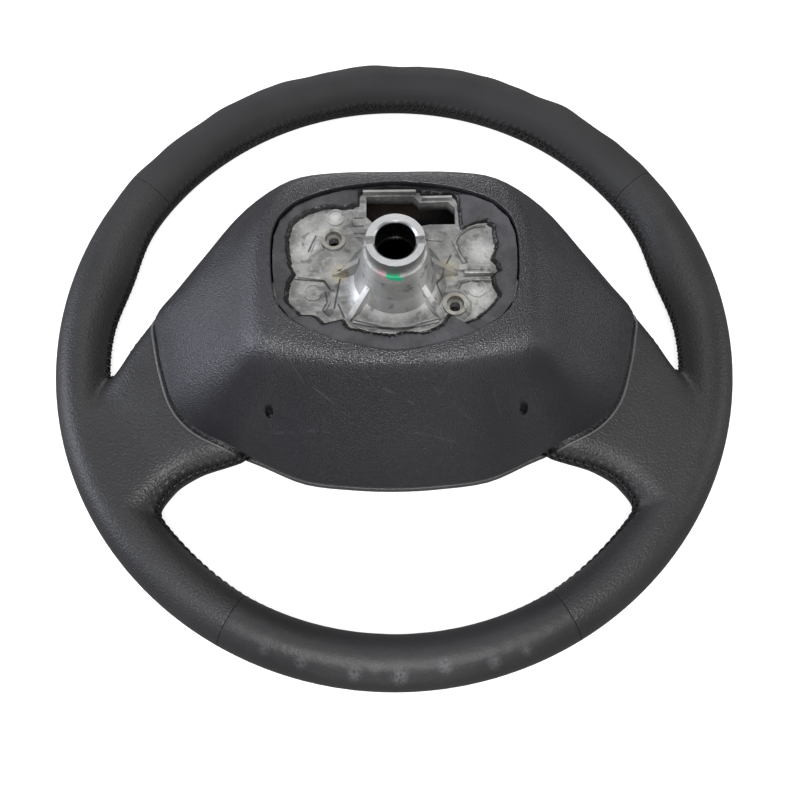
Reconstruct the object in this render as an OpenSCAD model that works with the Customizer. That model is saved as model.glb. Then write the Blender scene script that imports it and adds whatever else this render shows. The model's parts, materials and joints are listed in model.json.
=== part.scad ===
// Car steering wheel with a cast armature, lying face down on its rim.
// Z = 0 is the front plane of the rim and +Z points along the wheel axis towards the column.
// +Y points to the top of the rim (12 o'clock). All sizes are in millimetres.

/* [Rim] */
// Outer diameter of the rim
rim_d = 375; // [365:1:390]
// Width of the grip across the wheel
grip_w = 28.6; // [27:0.2:31]
// Height of the grip along the axis
grip_h = 30; // [28:0.5:33]
// How far the thumb rests stand in from the grip
thumb_swell = 4.5; // [2:0.5:6]
// Thickness of the leather
leather_t = 1.3; // [1:0.1:1.6]
// Angle of the upper leather seams above 3 and 9 o'clock
seam_up = 34.5; // [30:0.5:45]
// Angle of the lower leather seams below 3 and 9 o'clock
seam_down = 61; // [55:0.5:68]

/* [Hub] */
// Height of the hub face above the front plane of the rim
hub_h = 131; // [126:1:140]
// Outer diameter of the splined hub
hub_d = 27; // [26:0.5:30]
// Diameter of the plain pilot bore in the hub mouth
pilot_d = 18.8; // [18:0.1:20]
// Depth of the plain pilot bore
pilot_depth = 14; // [10:1:18]
// Number of splines
spline_count = 36; // [24:1:48]
// Diameter at the tips of the splines
spline_d = 16.6; // [15:0.1:17]
// Diameter of the hole for the centre bolt
bolt_d = 12.6; // [10:0.2:14]
// Width of the two index notches in the hub face
notch_w = 4; // [3:0.5:6]

/* [Armature] */
// Depth from the hub face to the rear face of the hub plate
boss_h = 40; // [36:1:44]
// Thickness of the hub plate
plate_t = 7; // [5:0.5:9]
// Width of a spoke arm
arm_w = 30; // [24:1:34]
// Thickness of the flanges along a spoke arm
flange_t = 4; // [3:0.5:6]
// Width and height of the bar inside the rim
core_w = 14; // [11:0.5:16]

/* [Rear cover] */
// Width of the rear cover
cover_w = 258; // [252:1:264]
// Wall of the rear cover
cover_t = 2.4; // [2:0.1:3]
// Height of the cover's lip above the foam panel
lip_h = 3; // [2:0.5:5]
// Spacing of the two cover screws
screw_pitch = 126; // [120:1:130]
// Diameter of a screw's well
well_d = 6.4; // [6:0.2:8]
// Diameter of a screw's shank
shank_d = 3.2; // [3:0.1:4]

/* [Horn module] */
// Travel of the horn
horn_travel = 1.7; // [1:0.1:2]
// Room between the inflator body and the wall of the module can
can_room = 14.5; // [13:0.5:15]
// Wall of the module can
can_t = 1.5; // [1.2:0.1:2.5]
// Diameter of the inflator body
inflator_d = 60; // [54:1:62]
// Diameter of a guide pin
pin_d = 5; // [4:0.5:6]
// Distance from the module can to the middle of a guide pin
pin_room = 8; // [7.5:0.1:9]
// Gap between the pad and the bezel
pad_gap = 1.2; // [0.8:0.1:2]

/* [Hidden] */

eps = 0.01;
// Clearance between parts that are assembled against each other
fit = 0.2;
rim_r = (rim_d - grip_w) / 2;
rim_z = grip_h / 2;

// Heights along the axis
plate_z = hub_h - boss_h;
foam_z = plate_z + 4;
lip_z = foam_z + lip_h;
base_z = 20;
pocket_z = base_z + fit;
// The cover's drawn heights above its wings follow the hub
wing_top = 40;
drawn_rise = 58;
function raised(z) = z <= wing_top ? z : lerp(wing_top, lip_z, (z - wing_top) / drawn_rise);

// Steps around the rim and around its section
ring_step = 7.2;
section_points = 14;

function lerp(a, b, t) = a + (b - a) * t;
function flip(p) = len(p) == 3 ? [-p[0], p[1], p[2]] : [-p[0], p[1]];
function bump(x, centre, width) = exp(-pow((x - centre) / width, 2));

// Height of a direction above or below 3 and 9 o'clock
function elevation(a) = asin(sin(a));

// Extra width on the inner side of the grip: thumb rests and the thicker spoke roots
function inner_swell(a) =
    thumb_swell * bump(elevation(a), 15, 9) + 1.2 * bump(elevation(a), -22, 25);

// One closed section of the rim at angle a, drawn in by inset
function rim_section(a, inset) = [
    for (i = [0 : section_points - 1])
        let (
            t = 90 + i * 360 / section_points,
            half = (cos(t) > 0 ? grip_w / 2 : grip_w / 2 + inner_swell(a)) - inset,
            r = rim_r + half * cos(t),
            z = rim_z + (grip_h / 2 - inset) * sin(t)
        )
        [r * cos(a), r * sin(a), z]
];

function arc_angles(from, to) =
    let (n = 2 * ceil((to - from) / ring_step / 2))
    [for (i = [0 : n]) lerp(from, to, i / n)];

function joined(rings) = [for (ring = rings) each ring];

// Two triangles for each step between ring j and ring k
function skin_faces(n, j, k, start, turned) = [
    for (i = [0 : n - 1])
        let (
            a = start + j * n + i,
            b = start + j * n + (i + 1) % n,
            c = start + k * n + (i + 1) % n,
            d = start + k * n + i
        )
        each turned ? [[d, c, b], [d, b, a]] : [[a, b, c], [a, c, d]]
];

// A bar swept through rings, closed by flat ends
module bar_loft(rings) {
    n = len(rings[0]);
    m = len(rings);
    polyhedron(
        points = joined(rings),
        faces = concat(
            [for (j = [0 : m - 2]) each skin_faces(n, j, j + 1, 0, false)],
            [[for (i = [0 : n - 1]) n - 1 - i]],
            [[for (i = [0 : n - 1]) (m - 1) * n + i]]
        ),
        convexity = 6
    );
}

// Rings that follow each other round and meet again, as a tube's wall does
module ring_loft(rings) {
    n = len(rings[0]);
    m = len(rings);
    polyhedron(
        points = joined(rings),
        faces = [for (j = [0 : m - 1]) each skin_faces(n, j, (j + 1) % m, 0, false)],
        convexity = 8
    );
}

// A leather sleeve: the outer skin, the inner skin and the two cut ends
module sleeve(from, to) {
    angles = arc_angles(from, to);
    n = section_points;
    m = len(angles);
    outer = [for (a = angles) rim_section(a, 0)];
    inner = [for (a = angles) rim_section(a, leather_t)];
    polyhedron(
        points = concat(joined(outer), joined(inner)),
        faces = concat(
            [for (j = [0 : m - 2]) each skin_faces(n, j, j + 1, 0, false)],
            [for (j = [0 : m - 2]) each skin_faces(n, j, j + 1, m * n, true)],
            skin_faces(n, m, 0, 0, false),
            skin_faces(n, m - 1, 2 * m - 1, 0, false)
        ),
        convexity = 6
    );
}

module rim_bar(from, to, inset) {
    bar_loft([for (a = arc_angles(from, to)) rim_section(a, inset)]);
}

// Spoke wings: each station has a ball at its upper edge and one at its lower edge
wing_stations = [
    [[112, 12, 24, 12], [70, -53, 20, 11]],
    [[122, 5, 23, 13], [76, -56, 20, 12]],
    [[132, -9, 21, 13], [90, -61, 20, 13]],
    [[141, -24, 19, 13], [101, -71, 18, 13]],
    [[150, -36, 16, 13], [112, -86, 16, 13.5]],
    [
        [rim_r * cos(17), -rim_r * sin(17), rim_z, grip_w / 2 - 0.5],
        [rim_r * cos(34), -rim_r * sin(34), rim_z, grip_w / 2 - 0.5]
    ]
];

module wing_rib(station, inset) {
    for (ball = station)
        translate([ball[0], ball[1], ball[2]])
            sphere(r = ball[3] - inset, $fn = 10);
}

// The wing of the right spoke; side = -1 makes the left one
module wing(side, inset) {
    scale([side, 1, 1])
        for (i = [0 : len(wing_stations) - 2])
            hull() {
                wing_rib(wing_stations[i], inset);
                wing_rib(wing_stations[i + 1], inset);
            }
}

// Half outlines of the hub, from 12 o'clock round to 6 o'clock on the right side
opening_line = [
    [0, 52.5], [26, 49.7], [39, 46], [49.5, 41], [57, 33], [60, 24], [60.5, 15], [60.2, 6],
    [59.3, -3], [56.8, -13.8], [51.4, -21.3], [42, -27.8], [30, -33], [18, -36.3], [8, -38.5], [0, -39.2]
];
shoulder_line = [
    [0, 58], [28, 57.5], [46, 54], [57, 47.5], [64, 37], [67.5, 26], [69, 14], [69, 2],
    [69, -12], [68.5, -25], [66, -34.5], [58, -39], [44, -42], [28, -44], [12, -45.3], [0, -45.6]
];
// The cover's rear edge, with its height
edge_line = [
    [0, 62, 88], [30, 62, 88], [54, 58, 88], [79, 46, 78], [99, 30, 64], [115, 18.5, 50],
    [129, 8, 37.5], [127, -6, 38], [123, -23, 38], [116, -42, 38], [103, -56, 37], [84, -65, 35],
    [70, -71, 24], [48, -80.5, 24], [22, -84, 24], [0, -85, 24]
];
// The height of the cover's lower edge below each of those points
base_heights = [20, 20, 20, 20, 24, 33.5, 36, 36.5, 36.5, 36.5, 35, 32.2, 20, 20, 20, 20];
pad_line = [
    [0, 54], [24, 53.5], [40, 51], [54, 45], [64, 34], [69, 22], [71, 10], [71, -3],
    [69.5, -17], [66, -31], [59, -44], [49, -55], [37, -64], [24, -70], [11, -72.5], [0, -73]
];

wide = cover_w / 258;
half_count = len(opening_line);

// Away from the axis by d, and to height z
function at(p, d, z) =
    let (k = 1 + d / norm([p[0], p[1]]))
    [p[0] * k, p[1] * k, z];
function widened(p) = [p[0] * wide, p[1]];

// A full ring from a half one, run anticlockwise when seen from +Z
function mirrored(half) = concat(
    [for (i = [half_count - 1 : -1 : 0]) half[i]],
    [for (i = [1 : half_count - 2]) flip(half[i])]
);

function opening_ring(d, z) = mirrored([for (p = opening_line) at(p, d, z)]);
function shoulder_ring(d, z) = mirrored([for (p = shoulder_line) at(p, d, z)]);
function edge_ring(d, drop) = mirrored([for (p = edge_line) at(widened(p), d, raised(p[2]) - drop)]);
function base_point(i) = [edge_line[i][0] * wide, edge_line[i][1]] * (i < 6 ? 1.04 : 1.006);
function base_ring(d) = mirrored([for (i = [0 : half_count - 1]) at(base_point(i), d, base_heights[i])]);
function outline_ring(d, z) = mirrored([for (i = [0 : half_count - 1]) at(base_point(i), d, z)]);
function pad_ring(d, z) = mirrored([for (p = pad_line) at(p, d, z)]);

// Between the shoulder and the edge, lifted a little so that the face is full
function face_ring(d, drop, t, lift) = mirrored([
    for (i = [0 : half_count - 1])
        let (
            s = [shoulder_line[i][0], shoulder_line[i][1], lip_z - 5],
            e = [edge_line[i][0] * wide, edge_line[i][1], raised(edge_line[i][2])],
            p = lerp(s, e, t)
        )
        at(p, d + lift * 0.5, p[2] + lift - drop)
]);

module hub_prism(from, to, d) {
    translate([0, 0, from])
        linear_extrude(height = to - from)
            polygon([for (p = outline_ring(d, 0)) [p[0], p[1]]]);
}

// Armature: one die casting with the hub plate, two spoke arms and the rim bar

// Side view of an arm: distance out from the hub, and height; deep makes it a flange
arm_root = [0, 10];
arm_angle = 24;
arm_reach = rim_r + 4;
flange_drop = 3;
arm_half = core_w / 2 - flange_drop - 0.4;
function arm_top(d) = [
    [20, plate_z + d], [62 + d, plate_z + d], [cover_w / 2 - 17 + d, 36 + d], [cover_w / 2 + 1, 28 + d],
    [150, rim_z + 7 + d], [arm_reach, rim_z + arm_half + d]
];
function arm_under(d) = [
    [arm_reach, rim_z - arm_half - d], [150, rim_z - 2 - d], [cover_w / 2 - 1, pocket_z + 5 - d],
    [cover_w / 2 - 22, pocket_z + 13 - d], [57, plate_z - plate_t - d], [20, plate_z - plate_t - d]
];

module arm_slab(width, above, below) {
    rotate([90, 0, 0])
        linear_extrude(height = width, center = true)
            polygon(concat(arm_top(above), arm_under(below)));
}

module on_arm() {
    for (side = [0, 1])
        mirror([side, 0, 0])
            translate(arm_root)
                rotate(-arm_angle)
                    children();
}

plate_line = [
    [-36, -29], [36, -29], [51, -17], [53, 8], [52, 30], [40, 50],
    [-40, 50], [-52, 30], [-53, 8], [-51, -17]
];
slot_line = [
    [-14, 36], [-14, 48], [9.6, 48], [13, 44], [27, 44.5], [30.5, 41],
    [30.5, 31.5], [17.5, 31.5], [10, 30], [-8, 30]
];
ejector_spots = [[-29.4, 35.8], [-39.9, -5.8], [39.7, -4.5]];
stepped_holes = [[-30.2, 23], [28.8, -13.2]];
small_holes = [[-26.7, 5], [25.4, 6.3]];
pin_angle = 35;
can_r = inflator_d / 2 + can_room + can_t;
pin_r = can_r + pin_room;
pin_spots = [for (a = [pin_angle, 180 - pin_angle, 180 + pin_angle, -pin_angle]) pin_r * [cos(a), sin(a)]];
bush_t = 1.4;
post_r = pin_d / 2 + bush_t + 2.6;
flange_z = 30;
can_flange_t = 1.5;
spring_len = 10;
post_end = flange_z + spring_len + 1.2;
seat_z = raised(46);
lug_h = 12;
lug_z = seat_z - lug_h;
screw_spots = [for (side = [-1, 1]) [side * screw_pitch / 2, -56]];

module rim_core(gap, facets) {
    c = core_w / 2 + gap;
    k = c - 2;
    rotate_extrude($fn = facets)
        translate([rim_r, rim_z])
            polygon([[-c, -k], [-k, -c], [k, -c], [c, -k], [c, k], [k, c], [-k, c], [-c, k]]);
}

// Raised lip along a short arc of the plate, round a centre on the Y axis
module arc_lip(centre, r, width, height, half_sweep) {
    translate([0, centre, plate_z - eps])
        rotate(-90 - half_sweep)
            rotate_extrude(angle = 2 * half_sweep, $fn = 120)
                translate([r - width / 2, 0])
                    square([width, height]);
}

// Thin wall between two points of the plate
module wall(a, b, width, height) {
    d = b - a;
    translate([a[0], a[1], plate_z - eps])
        rotate(atan2(d[1], d[0]))
            translate([0, -width / 2, 0])
                cube([norm(d), width, height]);
}

// Gusset that leans from the boss down to the plate
module gusset(angle, reach) {
    rotate(angle)
        translate([0, 1.4, plate_z])
            rotate([90, 0, 0])
                linear_extrude(height = 2.8)
                    polygon([[hub_d / 2 + 1, -1], [reach, -1], [reach, 0.6], [hub_d / 2 + 4, 17]]);
}

module boss() {
    top = hub_h - 9;
    rotate_extrude($fn = 96)
        polygon([
            [hub_d / 2, plate_z - 11], [hub_d / 2 + 7, plate_z - 11], [hub_d / 2 + 9, plate_z - plate_t - 1],
            [hub_d / 2 + 11.5, plate_z], [hub_d / 2 + 6.5, plate_z + 5], [hub_d / 2 + 4, plate_z + 14],
            [hub_d / 2 + 2.2, top - 4], [hub_d / 2 + 1.2, top], [hub_d / 2, top]
        ]);
}

module plate() {
    translate([0, 0, plate_z - plate_t])
        linear_extrude(height = plate_t)
            polygon(plate_line);
    for (p = ejector_spots)
        translate([p[0], p[1], plate_z - eps])
            difference() {
                cylinder(r = 4.6, h = 0.9, $fn = 48);
                translate([0, 0, 0.3]) cylinder(r = 3.7, h = 2, $fn = 48);
            }
    for (p = stepped_holes)
        translate([p[0], p[1], plate_z - eps])
            cylinder(r = 6, h = 1.6, $fn = 48);
    arc_lip(47.4, 72, 2.2, 1.8, 16.5);
    wall([-47.5, 3.2], [-34, 1], 1.6, 1.2);
    wall([-34, 1], [-30.5, -5], 1.6, 1.2);
    wall([31, 6.4], [46.5, 6.4], 3, 2.2);
    wall([29, 22], [34, 9], 1.6, 1.6);
    wall([-15.6, 49.2], [11, 49.2], 1.2, 3.4);
    wall([14, 45.6], [29, 45.8], 1.2, 3);
    for (angle = [-138, -42, 8, 172])
        gusset(angle, 31);
}

module lower_lugs() {
    for (side = [-1, 1])
        translate([0, 0, plate_z - plate_t - 6])
            linear_extrude(height = 9)
                polygon([
                    [side * 26, -12], [side * 50, -12], [side * (pin_spots[3][0] + post_r), -28],
                    [side * (pin_spots[3][0] + post_r), -34], [side * 40, -38], [side * 32, -28]
                ]);
}

// Screw bosses, each on a rib that leaves the arm; gap widens them for the pocket in the foam
module screw_lugs(gap) {
    for (p = screw_spots) {
        translate([p[0], p[1], lug_z - gap])
            cylinder(r = shank_d / 2 + 2.6 + gap, h = lug_h + 2 * gap, $fn = 48);
        translate([p[0], p[1], 0])
            rotate(atan2(22, (p[0] < 0 ? -1 : 1) * 14))
                rotate([90, 0, 0])
                    linear_extrude(height = 6 + 2 * gap, center = true)
                        offset(delta = gap)
                            polygon([
                                [0, lug_z + 1], [26, lug_z + 6], [26, seat_z + 14],
                                [6, seat_z - 0.5], [0, seat_z - 0.5]
                            ]);
    }
}

module armature() {
    color("silver")
        difference() {
            union() {
                plate();
                boss();
                rim_core(0, 120);
                on_arm() arm_slab(arm_w - flange_t, 0, 0);
                on_arm()
                    for (s = [-1, 1])
                        translate([0, s * (arm_w - flange_t) / 2, 0])
                            arm_slab(flange_t, 0, flange_drop);
                lower_lugs();
                screw_lugs(0);
                for (p = pin_spots)
                    translate([p[0], p[1], post_end])
                        cylinder(r = post_r, h = plate_z - plate_t + 1 - post_end, $fn = 48);
            }
            cylinder(r = hub_d / 2, h = hub_h, $fn = 96);
            translate([0, 0, plate_z - 20])
                linear_extrude(height = 40)
                    polygon(slot_line);
            for (p = stepped_holes)
                translate([p[0], p[1], plate_z - 12]) {
                    cylinder(r = 2.6, h = 24, $fn = 48);
                    translate([0, 0, 10]) cylinder(r = 4.2, h = 12, $fn = 48);
                }
            for (p = small_holes)
                translate([p[0], p[1], plate_z - 12])
                    cylinder(r = 1.9, h = 24, $fn = 48);
            for (p = screw_spots)
                translate([p[0], p[1], lug_z - 1])
                    cylinder(d = shank_d, h = lug_h + 2, $fn = 48);
            for (p = pin_spots)
                translate([p[0], p[1], post_end - 1])
                    cylinder(r = pin_d / 2 + bush_t, h = 21, $fn = 48);
        }
}

// Steel bush cast into the boss, with a plain pilot bore, internal splines and a bolt seat
bush_floor = plate_z - 9;
bolt_seat = 6;

module spline_bush() {
    root_r = pilot_d / 2 - 0.4;
    tip_r = spline_d / 2;
    depth = hub_h - pilot_depth - bush_floor - bolt_seat;
    color("lightgray")
        difference() {
            translate([0, 0, bush_floor])
                cylinder(r = hub_d / 2, h = hub_h - bush_floor, $fn = 96);
            translate([0, 0, hub_h - pilot_depth])
                cylinder(r = pilot_d / 2, h = pilot_depth + 1, $fn = 96);
            translate([0, 0, hub_h - 1])
                cylinder(r1 = pilot_d / 2, r2 = pilot_d / 2 + 1.2, h = 1.2, $fn = 96);
            translate([0, 0, bush_floor + bolt_seat])
                cylinder(r = tip_r, h = depth + 1, $fn = 96);
            translate([0, 0, bush_floor + bolt_seat])
                linear_extrude(height = depth)
                    for (i = [0 : spline_count - 1])
                        rotate(i * 360 / spline_count)
                            translate([0, -tip_r * PI / spline_count / 2])
                                square([root_r, tip_r * PI / spline_count]);
            translate([0, 0, bush_floor - 1])
                cylinder(d = bolt_d, h = bolt_seat + 2, $fn = 96);
            translate([-hub_d, -notch_w / 2, hub_h - 2.5])
                cube([2 * hub_d, notch_w, 3]);
        }
}

// Foam moulded round the rim bar and the arms, with the panel round the hub plate
panel_gap = 0.5;
exposed_line = [
    [-14, 41], [-34, 41], [-43, 38], [-51, 31.5], [-54, 23.5], [-51, 11], [-49, 4], [-52, -6],
    [-51.5, -11], [-45, -18], [-38.5, -18.5], [-33, -23], [-24.5, -20.5], [-22, -25], [-8, -28],
    [15, -27.5], [22, -23.5], [24.5, -18.5], [31.5, -23.5], [43, -17], [49.5, -9], [47, 0],
    [50.5, 5], [47, 11], [49.5, 17], [48.3, 29], [45, 32.5], [38.5, 30.5], [32, 27.5], [31.5, 46.5],
    [14.5, 47.5], [11.5, 50], [-16.2, 50]
];
foam_inset = leather_t + 0.45;

module foam_body() {
    angles = [for (i = [0 : 360 / ring_step - 1]) i * ring_step];
    color("dimgray")
        difference() {
            union() {
                ring_loft([for (a = angles) rim_section(a, foam_inset)]);
                wing(1, foam_inset);
                wing(-1, foam_inset);
                intersection() {
                    on_arm() arm_slab(arm_w + 2, 1, flange_drop + 1);
                    hub_prism(0, plate_z + 10, 0);
                }
                translate([0, 0, plate_z - 3])
                    linear_extrude(height = foam_z - plate_z + 3)
                        polygon([for (p = opening_ring(-panel_gap, 0)) [p[0], p[1]]]);
            }
            rim_core(0.6, 48);
            on_arm() arm_slab(arm_w + 2 * fit, fit, flange_drop + fit);
            screw_lugs(fit);
            translate([0, 0, plate_z - plate_t - 1])
                linear_extrude(height = plate_t + 1.25)
                    offset(delta = 0.25) polygon(plate_line);
            translate([0, 0, plate_z - 8])
                linear_extrude(height = 20)
                    polygon(exposed_line);
            hub_prism(-1, pocket_z, 0);
            translate([-54.5, -50, -1]) cube([109, 110, plate_z - 1.5]);
        }
}

// Leather in four sections, butted at the seams
seam_gap = 0.15;

module leather_top() {
    color("#3a3a3c") sleeve(seam_up + seam_gap, 180 - seam_up - seam_gap);
}

module leather_bottom() {
    color("#3a3a3c") sleeve(-180 + seam_down + seam_gap, -seam_down - seam_gap);
}

module leather_side(side) {
    from = side > 0 ? -seam_down + seam_gap : 180 - seam_up + seam_gap;
    to = side > 0 ? seam_up - seam_gap : 180 + seam_down - seam_gap;
    difference() {
        union() {
            rim_bar(from, to, 0);
            wing(side, 0);
        }
        rim_bar(from - 1, to + 1, leather_t);
        wing(side, leather_t);
        hub_prism(-1, plate_z, fit);
    }
}

module leather_left() {
    color("#3a3a3c") leather_side(-1);
}

module leather_right() {
    color("#3a3a3c") leather_side(1);
}

// Rear cover: a lofted shell with an opening at the hub and two screw wells
module rear_cover() {
    color("#44444a")
        difference() {
            union() {
                ring_loft([
                    opening_ring(0, lip_z - cover_t),
                    opening_ring(0, lip_z - 0.6),
                    opening_ring(1.6, lip_z),
                    shoulder_ring(-3, lip_z - 0.8),
                    shoulder_ring(0, lip_z - 5),
                    face_ring(0, 0, 0.5, 2.5),
                    edge_ring(0, 0),
                    base_ring(0),
                    base_ring(-cover_t),
                    edge_ring(-cover_t, 0.6 * cover_t),
                    face_ring(-cover_t, cover_t, 0.5, 2.5),
                    shoulder_ring(-cover_t, lip_z - 5 - cover_t),
                    shoulder_ring(-4, lip_z - 0.8 - cover_t)
                ]);
                intersection() {
                    ring_loft([
                        opening_ring(0, 10),
                        opening_ring(0, lip_z - 8),
                        shoulder_ring(-1, lip_z - 6),
                        face_ring(-1, 1, 0.5, 2.5),
                        edge_ring(-1, 1),
                        outline_ring(-1.5, 10)
                    ]);
                    for (p = screw_spots)
                        translate([p[0], p[1], seat_z + fit])
                            cylinder(d = well_d + 4, h = 30, $fn = 48);
                }
            }
            for (p = screw_spots) {
                translate([p[0], p[1], seat_z + 1.8])
                    cylinder(d = well_d, h = 30, $fn = 48);
                translate([p[0], p[1], seat_z - 1])
                    cylinder(d = shank_d + 0.4, h = 10, $fn = 48);
            }
        }
}

// Screw with a six-lobe recess in a round head
module cover_screw(p) {
    head_r = well_d / 2 - 0.4;
    color("dimgray")
        translate([p[0], p[1], seat_z + 1.8])
            difference() {
                union() {
                    cylinder(r = head_r, h = 2.4, $fn = 48);
                    translate([0, 0, -lug_h + 0.2]) cylinder(d = shank_d, h = lug_h, $fn = 48);
                }
                for (i = [0 : 2])
                    translate([0, 0, 0.9])
                        rotate(i * 60)
                            translate([-1.5, -0.45, 0])
                                cube([3, 0.9, 3]);
            }
}

module cover_screw_left() {
    cover_screw(screw_spots[0]);
}

module cover_screw_right() {
    cover_screw(screw_spots[1]);
}

// Front bezel: a moulded frame round the pad that closes the front of the hub
module front_bezel() {
    wall = 2.2;
    rim_low = 9;
    gap_low = 10.5;
    gap_high = 16;
    step_z = 15;
    color("#2f2f31")
        ring_loft([
            pad_ring(pad_gap + wall, gap_high),
            pad_ring(pad_gap + wall, gap_low + wall),
            outline_ring(-7 - wall, rim_low + wall),
            outline_ring(-fit - wall, step_z),
            outline_ring(-fit - wall, base_z - 0.1),
            outline_ring(-fit, base_z - 0.1),
            outline_ring(-fit, gap_high),
            outline_ring(-fit - 1.5, rim_low + 3.5),
            outline_ring(-7, rim_low),
            pad_ring(pad_gap, gap_low),
            pad_ring(pad_gap, gap_high)
        ]);
}

// Horn pad: the soft front of the horn module, with a ring that seats on the can's flange
pad_t = 3;

module horn_pad() {
    outer = [pad_ring(0, 17), pad_ring(0, 11.5), pad_ring(-2.5, 8.6), pad_ring(-12, 6.4), pad_ring(-28, 5.3)];
    inner = [
        pad_ring(-pad_t, 17), pad_ring(-pad_t, 12.5), pad_ring(-5, 11), pad_ring(-13, 9.4), pad_ring(-28, 8.3)
    ];
    rings = concat(outer, inner);
    n = len(outer[0]);
    m = len(outer);
    color("#303032")
        union() {
            polyhedron(
                points = joined(rings),
                faces = concat(
                    [for (j = [0 : m - 2]) each skin_faces(n, j, j + 1, 0, false)],
                    [for (j = [0 : m - 2]) each skin_faces(n, j, j + 1, m * n, true)],
                    skin_faces(n, m, 0, 0, false),
                    [[for (i = [0 : n - 1]) (m - 1) * n + i]],
                    [[for (i = [0 : n - 1]) (2 * m - 1) * n + n - 1 - i]]
                ),
                convexity = 6
            );
            rotate_extrude($fn = 96)
                translate([can_r + 0.5, 7.5])
                    square([2.4, flange_z - can_flange_t - 7.5]);
        }
}

can_top = plate_z - 25;
stud_r = inflator_d / 2 + 6;
stud_spots = [for (a = [45 : 90 : 315]) stud_r * [cos(a), sin(a)]];
stud_d = 4;

// Module can with its flange, four ears for the guide pins and the inflator's hole
module module_housing() {
    color("gray")
        difference() {
            union() {
                rotate_extrude($fn = 96)
                    polygon([
                        [can_r - can_t, flange_z - can_flange_t], [can_r + 5, flange_z - can_flange_t],
                        [can_r + 5, flange_z], [can_r, flange_z], [can_r, can_top],
                        [inflator_d / 2 + 0.4, can_top], [inflator_d / 2 + 0.4, can_top - can_t],
                        [can_r - can_t, can_top - can_t]
                    ]);
                for (p = pin_spots)
                    translate([p[0], p[1], flange_z - can_flange_t])
                        difference() {
                            cylinder(r = pin_d / 2 + 4.5, h = can_flange_t, $fn = 48);
                            translate([-p[0], -p[1], -1]) cylinder(r = can_r - can_t / 2, h = 5, $fn = 96);
                        }
            }
            for (p = pin_spots)
                translate([p[0], p[1], flange_z - 5])
                    cylinder(d = pin_d, h = 8, $fn = 48);
            for (p = stud_spots)
                translate([p[0], p[1], can_top - 5])
                    cylinder(d = stud_d + 0.4, h = 8, $fn = 48);
        }
}

// Gas generator: a round body with a flange clamped under the can's floor
retainer_t = 1.5;
inflator_flange_t = 1.5;
inflator_depth = 12;

module inflator() {
    flange_top = can_top - can_t;
    color("darkgray")
        difference() {
            rotate_extrude($fn = 96)
                polygon([
                    [0, flange_top - inflator_depth], [inflator_d / 2 - 6, flange_top - inflator_depth],
                    [inflator_d / 2 - 2, flange_top - 9],
                    [inflator_d / 2 - 2, flange_top - inflator_flange_t],
                    [stud_r + 4, flange_top - inflator_flange_t], [stud_r + 4, flange_top],
                    [inflator_d / 2, flange_top], [inflator_d / 2, flange_top + 5],
                    [inflator_d / 2 - 4, flange_top + 8], [0, flange_top + 8]
                ]);
            for (p = stud_spots)
                translate([p[0], p[1], flange_top - 5])
                    cylinder(d = stud_d + 0.4, h = 8, $fn = 48);
        }
}

// Ring with four studs that clamps the cushion
module cushion_retainer() {
    z = can_top - can_t - inflator_flange_t - retainer_t;
    color("silver") {
        translate([0, 0, z])
            difference() {
                cylinder(r = stud_r + 4, h = retainer_t, $fn = 96);
                translate([0, 0, -1]) cylinder(r = inflator_d / 2 - 1.6, h = 5, $fn = 96);
            }
        for (p = stud_spots)
            translate([p[0], p[1], z + eps])
                cylinder(d = stud_d, h = 12, $fn = 48);
    }
}

module retainer_nuts() {
    color("goldenrod")
        for (p = stud_spots)
            translate([p[0], p[1], can_top])
                difference() {
                    cylinder(r = 4, h = 3.4, $fn = 6);
                    translate([0, 0, -1]) cylinder(d = stud_d, h = 6, $fn = 48);
                }
}

// Folded cushion packed in the can under the retainer
module airbag_cushion() {
    top = can_top - can_t - inflator_flange_t - retainer_t - fit;
    hollow = can_top - can_t - inflator_depth - 0.5;
    color("white")
        rotate_extrude($fn = 96)
            polygon([
                [0, 12], [can_r - can_t - 6, 12], [can_r - can_t - 1, 16], [can_r - can_t - 1, top],
                [inflator_d / 2 - 1, top], [inflator_d / 2 - 1, hollow], [0, hollow]
            ]);
}

module guide_pins() {
    color("silver")
        for (p = pin_spots)
            translate([p[0], p[1], flange_z - can_flange_t - 2]) {
                cylinder(r = pin_d / 2 + 1.8, h = 2, $fn = 48);
                cylinder(d = pin_d, h = 26, $fn = 48);
            }
}

// Plastic sleeves in the posts of the armature
module guide_bushes() {
    color("ivory")
        for (p = pin_spots)
            translate([p[0], p[1], post_end])
                difference() {
                    cylinder(r = pin_d / 2 + bush_t, h = 16, $fn = 48);
                    translate([0, 0, -1]) cylinder(r = pin_d / 2 + 0.06, h = 20, $fn = 48);
                }
}

// Fixed contact: a thin plate on the ends of the posts
plate_gauge = 1.2;
contact_angles = [90, 270];

module contact_plate() {
    color("peru")
        translate([0, 0, post_end - plate_gauge])
            difference() {
                cylinder(r = pin_r + 6, h = plate_gauge, $fn = 120);
                translate([0, 0, -1]) cylinder(r = can_r + 1.2, h = 4, $fn = 120);
                for (p = pin_spots)
                    translate([p[0], p[1], -1])
                        cylinder(r = pin_d / 2 + 0.5, h = 4, $fn = 48);
            }
}

// Moving contacts on the can's flange
module contact_studs() {
    reach = spring_len - horn_travel - 0.3;
    color("gold")
        for (a = contact_angles)
            rotate(a)
                translate([can_r + 2.8, 0, flange_z])
                    cylinder(r = 1.9, h = reach, $fn = 48);
}

// Compression spring on a guide pin, seated on the can's ear and the contact plate
spring_wire = 1.1;
spring_turns = 3;
spring_sides = 4;
spring_steps = 8;

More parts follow.
